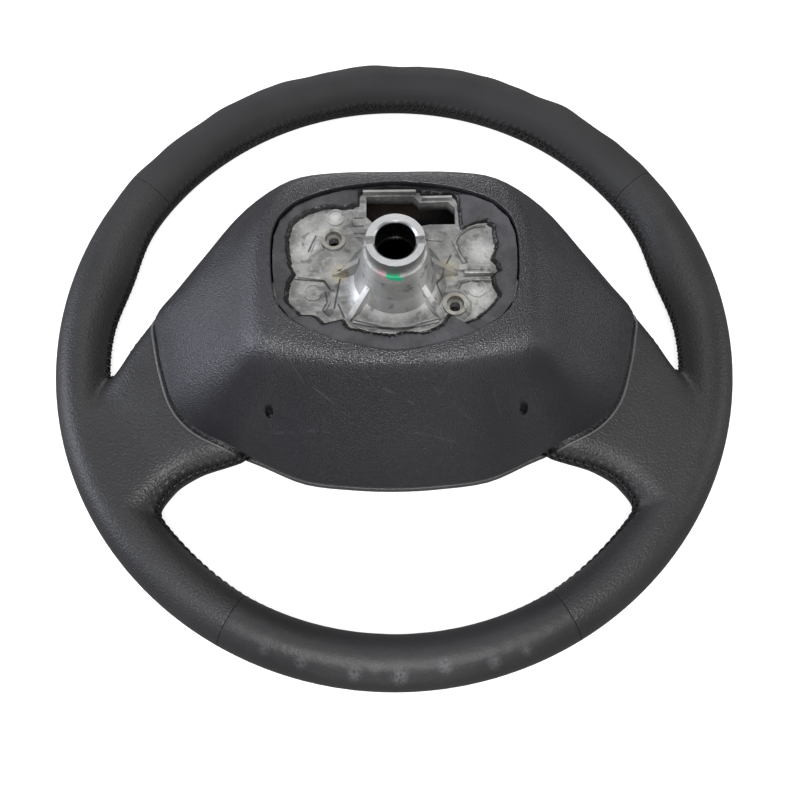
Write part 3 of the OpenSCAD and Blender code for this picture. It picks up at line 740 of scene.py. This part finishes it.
def foam_panel():
    """Foam round the casting, its ragged edge of dark flash, and the core of the rim."""
    whole_opening = opening_line + [(-p[0], p[1]) for p in reversed(opening_line[1:-1])]
    count = 480
    at_opening = 99
    outer, inner, ways = [], [], []
    for i in range(count):
        turn = 2 * pi * i / count
        way = Vector((cos(turn), sin(turn), 0))
        jitter = 0.5 * noise.noise(way * 9) + 0.5 * noise.noise(way * 31) + 0.5 * noise.noise(way * 70)
        ways.append(way)
        outer.append(reach_of(whole_opening, turn) - 0.7)
        inner.append(reach_of(casting_line, turn) + jitter)
    top, low = foam_z / MM + 1.4, plate_z / MM

    def ring(spread, z, rough=0.0):
        """A ring so many mm outside the ragged edge, never past the opening; z in mm."""
        points = []
        for way, near, far in zip(ways, inner, outer):
            reach = min(near + spread, far)
            lump = rough * noise.noise(way * 22 + Vector((spread, 0, 0)))
            points.append((way * reach + Vector((0, 0, z + lump))) * MM)
        return points

    panel = swept("foam_panel", [
        ring(at_opening, top - 5), ring(at_opening, top - 0.8), ring(15, top - 0.9, 0.1),
        ring(11, top - 1.4, 0.2), ring(8, low + 3.6, 0.3), ring(5, low + 2.8, 0.4), ring(3, low + 2.3, 0.5),
        ring(1.8, low + 1.9, 0.5), ring(1.2, low + 0.1), ring(1.2, low - 2),
    ], closed=True)
    shaded(panel, 60)
    edge = swept("foam_flash", [
        ring(1.9, low - 1), ring(2.0, low + 1.8, 0.5), ring(1.4, low + 2.6, 0.9), ring(0.6, low + 1.9, 0.7),
        ring(0.0, low + 0.5, 0.3), ring(-0.3, low - 0.3), ring(0.4, low - 1),
    ], closed=True)
    shaded(edge, 60)
    bpy.ops.mesh.primitive_torus_add(
        major_radius=rim_r, minor_radius=foam_core_r, major_segments=180, minor_segments=24,
        location=(0, 0, rim_z),
    )
    core = named("foam_core")
    apply_place(core)
    shaded(core, 60)
    fitted(panel, "moulded_foam", "foam_body")
    fitted(edge, "foam_flash")
    fitted(core, "moulded_foam")


def front_bezel():
    """The frame round the pad, a little inside the cover's edge."""
    fit = 0.2
    wall = 2.2
    gap = 1.2
    rim = base_z / MM - 0.1
    bezel = swept("bezel_frame", [ring_at(line, d, z) for line, d, z in (
        (pad_line, gap + wall, 16), (pad_line, gap + wall, 10.5 + wall), (base_line, -7 - wall, 9 + wall),
        (base_line, -fit - wall, 15), (base_line, -fit - wall, rim), (base_line, -fit, rim),
        (base_line, -fit, 16), (base_line, -fit - 1.5, 12.5), (base_line, -7, 9),
        (pad_line, gap + 1, 9.9), (pad_line, gap, 10.8), (pad_line, gap, 16),
    )], closed=True)
    rounded(bezel, 0.7, 2, 28)
    shaded(bezel, 50)
    fitted(bezel, "trim_plastic", "front_bezel")


def horn_pad():
    """The pad's crowned face and its skirt."""
    pad = swept("horn_pad_face", [ring_at(pad_line, d, z) for d, z in (
        (-3, 17), (0, 17), (0, 12.2), (-0.8, 10.2), (-2.5, 8.9), (-6, 7.7), (-12, 6.5), (-20, 5.7),
        (-30, 5.2), (-42, 5.0),
    )], caps=(False, True))
    shaded(pad, 50)
    modified(pad, "SOLIDIFY", thickness=pad_t, offset=-1)
    fitted(pad, "pad_plastic", "horn_pad", MODULE)


def sum_of(operation, turned=False):
    """A method that adds a Math node on the value and the others, or the others first if turned."""

    def method(self, *others):
        values = (*others, self) if turned else (self, *others)
        return self.finish.maths(operation, *values)

    return method


class Value:
    """A value in a material's nodes that takes part in sums."""

    def __init__(self, finish, socket):
        self.finish = finish
        self.socket = socket

    __add__ = __radd__ = sum_of("ADD")
    __sub__ = sum_of("SUBTRACT")
    __rsub__ = sum_of("SUBTRACT", turned=True)
    __mul__ = __rmul__ = sum_of("MULTIPLY")
    __truediv__ = sum_of("DIVIDE")
    __abs__ = sum_of("ABSOLUTE")
    raised = sum_of("POWER")
    sine = sum_of("SINE")
    least = sum_of("MINIMUM")
    most = sum_of("MAXIMUM")

    def ramp(self, low, high):
        """0 below low, 1 above high, soft between them; low may be the larger one."""
        made = self.finish.node(
            "ShaderNodeMapRange", {"interpolation_type": "SMOOTHSTEP"},
            Value=self, From_Min=low, From_Max=high,
        )
        return Value(self.finish, made.outputs[0])


def most_of(values):
    """The largest of several values at each place."""
    largest, *others = values
    for value in others:
        largest = largest.most(value)
    return largest


class Finish:
    """A material whose look is built from values."""

    def __init__(self, name):
        self.material = bpy.data.materials.new(name)
        self.material.use_nodes = True
        self.tree = self.material.node_tree
        self.shader = self.tree.nodes["Principled BSDF"]
        self.place = Value(self, self.node("ShaderNodeTexCoord").outputs["Object"])
        parts = self.node("ShaderNodeSeparateXYZ", Vector=self.place)
        self.x, self.y, self.z = (Value(self, parts.outputs[i]) / MM for i in range(3))
        materials[name] = self.material

    def feed(self, socket, value):
        if isinstance(value, Value):
            self.tree.links.new(value.socket, socket)
        elif isinstance(value, tuple) and len(value) == 3 and socket.type == "RGBA":
            socket.default_value = (*value, 1)
        else:
            socket.default_value = value

    def feed_all(self, made, inputs):
        for key, value in inputs.items():
            self.feed(made.inputs[key.replace("_", " ")], value)

    def node(self, kind, settings=None, **inputs):
        made = self.tree.nodes.new(kind)
        for key, value in (settings or {}).items():
            setattr(made, key, value)
        self.feed_all(made, inputs)
        return made

    def maths(self, operation, *values, kind="ShaderNodeMath"):
        made = self.node(kind, {"operation": operation})
        for socket, value in zip(made.inputs, values):
            self.feed(socket, value)
        return Value(self, made.outputs[0])

    def noise(self, scale, detail=2.0, at=None):
        made = self.node("ShaderNodeTexNoise", Vector=at or self.place, Scale=scale, Detail=detail)
        return Value(self, made.outputs[0])

    def cells(self, scale, at, feature="F1"):
        made = self.node("ShaderNodeTexVoronoi", {"feature": feature}, Vector=at, Scale=scale)
        return Value(self, made.outputs["Distance"])

    def attribute(self, name):
        return Value(self, self.node("ShaderNodeAttribute", {"attribute_name": name}).outputs["Fac"])

    def bent(self, scale, amount):
        """The place, shaken by a coarse noise, so that patterns don't run straight."""
        shaken = self.node("ShaderNodeTexNoise", Vector=self.place, Scale=scale, Detail=2.0)
        shake = Value(self, shaken.outputs["Color"])
        return self.maths("MULTIPLY_ADD", shake, (amount,) * 3, self.place, kind="ShaderNodeVectorMath")

    def stretched(self, *sizes):
        return self.maths("MULTIPLY", self.place, sizes, kind="ShaderNodeVectorMath")

    def mix(self, factor, first, second):
        """The first colour where the factor is 0, the second where it is 1."""
        made = self.node("ShaderNodeMix", {"data_type": "RGBA"})
        for index, value in ((0, factor), (6, first), (7, second)):
            self.feed(made.inputs[index], value)
        return Value(self, made.outputs[2])

    def spot(self, x, y, radius, soft):
        """1 near the axis-parallel line through (x, y), all in mm."""
        u, v = self.x - x, self.y - y
        return (u * u + v * v).raised(0.5).ramp(radius + soft, radius - soft)

    def stroke(self, start, end, width, soft):
        """1 along the line from start to end, seen along the axis, all in mm."""
        dx, dy = end[0] - start[0], end[1] - start[1]
        size = dx * dx + dy * dy
        along = ((self.x - start[0]) * (dx / size) + (self.y - start[1]) * (dy / size)).most(0).least(1)
        u = self.x - start[0] - along * dx
        v = self.y - start[1] - along * dy
        return (u * u + v * v).raised(0.5).ramp(width / 2 + soft, width / 2 - soft)

    def line(self, points, width, soft):
        """1 along the line through all the points, seen along the axis, in mm."""
        return most_of(self.stroke(start, end, width, soft) for start, end in zip(points, points[1:]))

    def spotted(self, colour, spots, soft, mask, paint):
        """The colour with paint on spots of (x, y, radius, amount) in mm, where the mask is 1."""
        for x, y, radius, amount in spots:
            colour = self.mix(self.spot(x, y, radius, soft) * mask * amount, colour, paint)
        return colour

    def relief(self, *layers):
        """Bumps of (height, distance) one over another, given to the shader."""
        normal = None
        for height, distance in layers:
            made = self.node("ShaderNodeBump", Height=height, Distance=distance * MM, Strength=1.0)
            if normal:
                self.feed(made.inputs["Normal"], normal)
            normal = Value(self, made.outputs[0])
        self.surface(Normal=normal)

    def surface(self, **inputs):
        self.feed_all(self.shader, inputs)


def tone(red, green, blue):
    """A display colour of 0 to 255 as light values."""
    shares = (red / 255, green / 255, blue / 255)
    return tuple(((share + 0.055) / 1.055) ** 2.4 if share > 0.04 else share / 12.92 for share in shares)


# Rubbed spots at the bottom of the rim: (x, y, radius, amount) in mm
worn_spots = [
    (-48, -173, 2.5, 0.5), (-22, -179, 3, 0.7), (-12, -177, 2, 0.5), (0, -180.5, 3.6, 0.8),
    (22, -176, 3.2, 0.8), (46, -174.5, 3, 0.6), (62, -169, 2, 0.5), (-66, -167, 2, 0.35),
]


def leather(name, grained):
    """Black leather with the seam's groove and puckers, and painted shade beside the rear cover; the smooth
    one is worn at the bottom.
    """
    skin = Finish(name)
    across = abs(skin.attribute("seam_across"))
    along = skin.attribute("seam_along")
    groove = across.ramp(0.9, 0.25)
    puckers = (along * (2 * pi / stitch_pitch)).sine() * across.ramp(5.5, 3.5) * across.ramp(0.6, 2.5)
    drift = skin.noise(22, 3)
    if grained:
        grain = skin.cells(900, skin.bent(300, 0.0012), "SMOOTH_F1")
        coarse = skin.noise(240, 3)
        pebbles = (1 - grain * 1.3) * 0.75 + coarse * 0.25
        relief = [(pebbles, 0.3), (skin.noise(2600), 0.04)]
        crease = grain.ramp(0.5, 0.8)
    else:
        grain = skin.cells(1500, skin.bent(500, 0.0008))
        wrinkles = skin.noise(170, 4, skin.bent(60, 0.006))
        relief = [(wrinkles, 0.3), (1 - grain, 0.06), (skin.noise(2600), 0.03)]
        crease = grain.ramp(0.6, 0.9) * 0.4
    colour = skin.mix(drift.ramp(0.3, 0.7), tone(30, 30, 31), tone(36, 36, 37))
    colour = skin.mix(crease * 0.35, colour, tone(18, 18, 19))
    rough = 0.4 + drift * 0.16 + crease * 0.1 + skin.y.ramp(60, 130) * 0.3
    if not grained:
        rubbed = skin.noise(700, 4).ramp(0.3, 0.6) * skin.z.ramp(10, 18)
        for x, y, radius, amount in worn_spots:
            worn = skin.spot(x, y, radius, 2) * rubbed * amount
            colour = skin.mix(worn * 0.4, colour, tone(112, 112, 115))
            rough = rough + worn * 0.1
    # Darkened nearly to black: the laced seam's groove as its dark joint, and the gap beside the rear cover
    # as painted shade
    colour = skin.mix(groove.most(skin.attribute("beside_cover").ramp(1.7, 0.9)), colour, tone(6, 6, 6))
    skin.relief(*relief, (1 - groove, 0.6), (puckers, 0.35))
    skin.surface(Base_Color=colour, Roughness=rough, Specular_IOR_Level=0.3)


# Light scratches on the cover: (start, end, width) in mm
scratches = [
    ((-70, -62), (-30, -66), 0.5), ((-42, -50), (-24, -61), 0.5), ((-10, -52), (8, -58), 0.6),
    ((12, -50), (36, -62), 0.5), ((20, -56), (26, -48), 0.4), ((-52, -40), (-40, -55), 0.4),
    ((44, -47), (52, -60), 0.4), ((86, -20), (96, -32), 0.5), ((-90, -10), (-80, -28), 0.5),
    ((0, -66), (30, -70), 0.4),
]


def cover_finish():
    shell = Finish("cover_plastic")
    grain = shell.cells(1250, shell.bent(600, 0.0008))
    fine = shell.noise(3600, 2)
    drift = shell.noise(14, 3)
    colour = shell.mix(drift.ramp(0.3, 0.7), tone(24, 24, 28), tone(30, 30, 34))
    colour = shell.mix(grain.ramp(0.5, 0.9) * 0.5, colour, tone(14, 14, 17))
    marks = most_of(shell.stroke(start, end, width, 0.4) for start, end, width in scratches)
    marks = marks * shell.noise(160, 2).ramp(0.42, 0.6)
    colour = shell.mix(marks * 0.18, colour, tone(96, 95, 102))
    dust = shell.noise(520, 4).ramp(0.66, 0.78)
    colour = shell.mix(dust * 0.15, colour, tone(104, 103, 108))
    shell.relief((1 - grain, 0.24), (fine, 0.06))
    shell.surface(Base_Color=colour, Roughness=0.3 + drift * 0.1 + marks * 0.1, Specular_IOR_Level=0.5)


# Marks on the casting's plate, the dark spots partly painted shade round the boss's foot: spots as (x, y,
# radius, amount), lines as points, in mm
shade_and_dark_spots = [
    (-24, 20, 7, 0.5), (-20, 6, 6, 0.55), (22, 12, 6, 0.45), (-36, -10, 6, 0.2), (24, 26, 5, 0.3),
    (0, -20, 9, 0.35),
]
bright_spots = [
    (-16.1, -11.5, 4, 0.6), (14.5, -13, 4, 0.7), (-40, 27, 6, 0.25), (-44, 18, 5, 0.3), (42, 16, 6, 0.35),
    (-30, 36, 3, 0.5), (40, -8, 6, 0.3),
]
oily_spots = [(x, y, 4.5, 0.45) for x, y in ((-26.7, 5), (25.4, 6.3), (-30.2, 23.1), (28.8, -13.2))]
wide_line = [(-26.9, 1.4), (-28.3, -6.6), (-29.6, -14.3)]
thin_lines = [
    [(27.7, 14), (25.4, 9.6)], [(23.3, 1.6), (19.9, -3.9), (22.5, -8.9)],
    [(45, 29.9), (40, 29.6), (36, 27.8), (32.2, 24.6), (30.7, 21), (31.8, 15.6), (35.4, 10)],
    [
        (-21.4, -21.2), (-14.4, -23.2), (-6.2, -25.5), (0.6, -26.1), (6.4, -25.7), (13.3, -23.4),
        (20.8, -21.4),
    ],
    [(-49, 1.6), (-34.6, 0.2), (-31.4, -4.6)], [(30.8, -4.4), (32.2, -1.6), (35.4, -0.6), (46, -0.9)],
    [(33.8, 2.4), (49, 2.6)], [(-33.9, -5.5), (-33, -11), (-35.2, -15.6), (-32, -18.4)],
    [(-42.6, 17), (-39, 25.6)], [(-20, 35.6), (-15.6, 35.6)], [(-20, 31), (-15.6, 31)],
    [(-27.7, -12.1), (-24.8, -19.4)], [(-20, 26.8), (-15, 26.6)],
]
paint_dab = (-1.5, -15.8, 122)


def casting_finish():
    """As-cast light alloy, with the marks of the mould and the workshop on its hub, painted shade round the
    boss and in the slot, and painted light on the boss.
    """
    cast = Finish("cast_alloy")
    plate = plate_z / MM
    cloud = cast.noise(95, 5)
    fine = cast.noise(900, 3)
    flow = cast.noise(60, 4, cast.stretched(1, 3.5, 1))
    face = cast.z.ramp(plate - 1.5, plate - 0.5)
    colour = cast.mix(cloud.ramp(0.3, 0.7), tone(98, 98, 96), tone(138, 138, 136))
    colour = cast.mix(flow.ramp(0.5, 0.66) * 0.7, colour, tone(88, 89, 90))
    colour = cast.mix(cast.noise(420, 4).ramp(0.5, 0.72) * 0.4, colour, tone(172, 172, 170))
    # Painted light: the boss, above the plate, is lightened as if lit on its front
    colour = cast.mix(cast.z.ramp(plate + 1, plate + 5) * 0.45, colour, tone(190, 190, 188))
    # Painted shade round the boss's foot, along with dark marks on the plate
    colour = cast.spotted(colour, shade_and_dark_spots, 5, face, tone(92, 92, 91))
    colour = cast.spotted(colour, bright_spots, 4, face, tone(222, 222, 220))
    colour = cast.spotted(colour, oily_spots, 2.5, face * fine.ramp(0.35, 0.6), tone(176, 160, 108))
    dirt = cast.noise(210, 5).ramp(0.55, 0.68) * face
    colour = cast.mix(dirt * 0.6, colour, tone(56, 56, 56))
    lines = most_of(cast.line(points, 0.7, 0.5) for points in thin_lines)
    lines = cast.line(wide_line, 0.8, 0.4).most(lines) * (0.8 + cast.noise(300, 3))
    colour = cast.mix((lines * face).least(1) * 0.95, colour, tone(18, 18, 19))
    across = cast.x - paint_dab[0]
    side = cast.y - paint_dab[1]
    up = (cast.z - paint_dab[2] + across * 0.3) * 2.2
    dab = (across * across * 0.35 + side * side * 0.4 + up * up).raised(0.5)
    dab = (dab + cast.noise(260, 3) * 3.2).ramp(5.2, 4.2)
    smear = ((cast.x + 7) * (cast.x + 7) + side * side * 0.3 + up * up * 0.6).raised(0.5).ramp(7, 3)
    colour = cast.mix(smear * 0.35, colour, tone(206, 142, 150))
    colour = cast.mix(dab, colour, tone(12, 134, 92))
    # Painted shade: the walls of the slot below the plate are darkened
    slot_wall_shade = cast.z.ramp(plate - 2, plate - 7) * cast.y.ramp(26, 30)
    colour = cast.mix(slot_wall_shade * 0.85, colour, tone(24, 24, 25))
    cast.relief((cloud, 0.5), (fine, 0.14), (cast.noise(2600), 0.05))
    cast.surface(
        Base_Color=colour, Metallic=0.72 - dab.most(lines * face).least(1) * 0.7,
        Roughness=0.5 + cloud * 0.14 + dirt * 0.12, Specular_IOR_Level=0.5,
    )


def bush_finish():
    """Turned steel: bright on the ring's face, with painted shade darkening its notches and the bore."""
    steel = Finish("machined_steel")
    reach = (steel.x * steel.x + steel.y * steel.y).raised(0.5)
    rings = (reach * 9).sine() * 0.5 + steel.noise(700, 3) * 0.5
    bore_r = 9.5
    bore = reach.ramp(bore_r + 0.4, bore_r - 0.4)
    colour = steel.mix(rings, tone(150, 151, 152), tone(176, 177, 178))
    colour = steel.mix(steel.noise(240, 4).ramp(0.58, 0.8) * 0.5, colour, tone(120, 118, 114))
    # Painted shade: the notches at 3 and 9 o'clock are darkened
    notch_shade = abs(steel.y).ramp(2.2, 1.9) * (1 - bore)
    colour = steel.mix(notch_shade * 0.7, colour, tone(92, 92, 92))
    # Painted shade: the bore is darkened nearly to black
    colour = steel.mix(bore, colour, tone(26, 26, 26))
    steel.relief((rings, 0.04), (steel.noise(400, 3), 0.05))
    steel.surface(Base_Color=colour, Metallic=1.0, Roughness=0.3 + steel.noise(180) * 0.16 - bore * 0.16)


def metal(name, light, dark, roughness):
    made = Finish(name)
    cloud = made.noise(100, 4)
    fine = made.noise(1200, 3)
    colour = made.mix(cloud.ramp(0.3, 0.7), tone(*dark), tone(*light))
    colour = made.mix(fine.ramp(0.6, 0.8) * 0.4, colour, tone(*[c * 0.6 for c in dark]))
    made.relief((fine, 0.04), (cloud, 0.08))
    made.surface(Base_Color=colour, Metallic=1.0, Roughness=roughness + cloud * 0.15)


def moulded(name, light, dark, roughness, grain_scale, depth):
    """A moulded or pressed surface with a fine grain of this depth in mm."""
    made = Finish(name)
    grain = made.cells(grain_scale, made.bent(grain_scale / 2, 0.0006))
    drift = made.noise(30, 4)
    colour = made.mix(drift.ramp(0.3, 0.7), tone(*dark), tone(*light))
    colour = made.mix(grain.ramp(0.55, 0.95) * 0.5, colour, tone(*[c * 0.6 for c in dark]))
    made.relief((1 - grain, depth), (made.noise(3000), depth / 3))
    made.surface(Base_Color=colour, Roughness=roughness + drift * 0.12)


def foam_finish():
    foam = Finish("moulded_foam")
    pores = foam.cells(1300, foam.bent(300, 0.001))
    cloud = foam.noise(120, 5)
    colour = foam.mix(cloud.ramp(0.35, 0.65), tone(52, 52, 54), tone(64, 64, 66))
    colour = foam.mix(pores.ramp(0.25, 0.05) * 0.5, colour, tone(20, 20, 20))
    specks = foam.noise(900, 3).ramp(0.68, 0.76)
    colour = foam.mix(specks * 0.4, colour, tone(120, 118, 114))
    foam.relief((pores, 0.16), (cloud, 0.5))
    foam.surface(Base_Color=colour, Roughness=0.86, Specular_IOR_Level=0.25)


def woven_finish():
    """Plain weave of the folded cushion."""
    cloth = Finish("cushion_fabric")
    warp = (cloth.x * 6.2).sine()
    weft = (cloth.y * 6.2).sine()
    weave = warp * weft
    colour = cloth.mix(weave * 0.5 + 0.5, tone(196, 196, 192), tone(222, 222, 218))
    cloth.relief((weave, 0.2), (cloth.noise(1200), 0.05))
    cloth.surface(Base_Color=colour, Roughness=0.85)


def thread_finish():
    thread = Finish("lacing_thread")
    twist = ((thread.x + thread.y * 1.3 + thread.z * 1.1) * 9).sine()
    colour = thread.mix(twist * 0.5 + 0.5, tone(10, 10, 10), tone(24, 24, 25))
    thread.relief((twist, 0.12), (thread.noise(3000), 0.05))
    thread.surface(Base_Color=colour, Roughness=0.5, Specular_IOR_Level=0.4)


def white_table():
    """White, with a trace of the object's contact shadow."""
    table = Finish("white_table")
    cloud = table.noise(3)
    table.surface(
        Base_Color=table.mix(cloud, (0.3, 0.3, 0.3), (0.32, 0.32, 0.32)), Roughness=0.9,
        Emission_Color=(1, 1, 1), Emission_Strength=0.86,
    )
    return table.material


materials = {}
leather("smooth_leather", False)
leather("grained_leather", True)
cover_finish()
casting_finish()
bush_finish()
foam_finish()
woven_finish()
thread_finish()
# Painted highlight: the folded edge's leather is far lighter than the grip's, for the light along its fold
moulded("folded_leather_highlight", (74, 74, 76), (60, 60, 62), 0.4, 1400, 0.1)
moulded("foam_flash", (24, 24, 25), (12, 12, 12), 0.34, 900, 0.2)
moulded("trim_plastic", (50, 50, 52), (42, 42, 44), 0.42, 1600, 0.12)
moulded("pad_plastic", (46, 46, 48), (38, 38, 40), 0.5, 1000, 0.3)
moulded("bush_plastic", (206, 200, 182), (190, 184, 166), 0.45, 1500, 0.05)
metal("screw_steel", (72, 72, 74), (48, 48, 50), 0.36)
metal("plated_steel", (190, 190, 192), (160, 160, 160), 0.3)
metal("nut_steel", (196, 176, 112), (160, 140, 84), 0.34)
metal("pin_steel", (186, 187, 188), (160, 161, 162), 0.22)
metal("contact_metal", (120, 104, 88), (96, 82, 68), 0.4)
metal("spring_steel", (170, 170, 172), (130, 130, 130), 0.3)


def paint_frame():
    """Gives every CAD node that stays the material of its slot in the record."""
    for part in frame["record"]["subparts"]:
        node = frame["nodes"][part["node"]]
        node.data.materials.clear()
        node.data.materials.append(materials[part["material_slot"]])


def studio():
    """A white table under wide soft lamps; its white doesn't light the dark faces over it."""
    bpy.context.scene.view_settings.view_transform = "Standard"
    bpy.ops.mesh.primitive_plane_add(size=14)
    floor = named("floor")
    floor.data.materials.append(white_table())
    floor.visible_diffuse = floor.visible_glossy = False
    world = bpy.data.worlds.new("studio_air")
    bpy.context.scene.world = world
    world.use_nodes = True
    air = world.node_tree.nodes["Background"]
    air.inputs["Color"].default_value = (1, 1, 1, 1)
    air.inputs["Strength"].default_value = 0.34
    for name, place, size, power, tint in (
        ("overhead", (0.0, -0.62, 1.4), 0.42, 27, (1, 1, 1)),
        ("window", (-1.5, 0.1, 0.6), 0.9, 24, (0.84, 0.87, 1.0)),
        ("right", (1.5, 0.1, 0.6), 0.9, 6.5, (1, 1, 1)),
        ("rear", (0.0, 1.7, 0.4), 0.9, 12, (1, 1, 1)),
        ("sky", (0.0, 0.7, 1.5), 0.6, 4.5, (1, 1, 1)),
        ("front", (0.0, -1.5, 0.3), 0.5, 3.5, (1, 1, 1)),
    ):
        bpy.ops.object.light_add(type="AREA", location=place)
        lamp = bpy.context.object
        lamp.name = name
        lamp.data.shape = "DISK"
        lamp.data.size = size
        lamp.data.energy = power
        lamp.data.color = tint
        lamp.rotation_euler = (Vector((0, 0, 0.03)) - Vector(place)).to_track_quat("-Z", "Y").to_euler()


def camera():
    """The photograph's view: the wheel seen from its column side, low over 6 o'clock."""
    tilt, roll, turn = radians(20.9), radians(-1.0), radians(1.8)
    rim_centre = Vector((-2.8, 30.8, -558.6)) * MM
    view = Matrix.Rotation(roll, 3, "Z") @ Matrix.Rotation(-tilt, 3, "X") @ Matrix.Rotation(turn, 3, "Z")
    place = view.transposed() @ -rim_centre + Vector((0, 0, rim_z))
    bpy.ops.object.camera_add()
    made = bpy.context.object
    made.matrix_world = Matrix.Translation(place) @ view.transposed().to_4x4()
    made.data.lens = 45
    made.data.sensor_width = 36
    made.data.clip_start = 0.01
    bpy.context.scene.camera = made


paint_frame()
camera()
studio()
form = grip_form()
runs = seams(form)
press_seam(form, runs)
leather_sections(form)
lacing(runs)
leather_edge(form)
bpy.data.objects.remove(form)
rear_cover()
foam_panel()
casting_ridges()
front_bezel()
horn_pad()
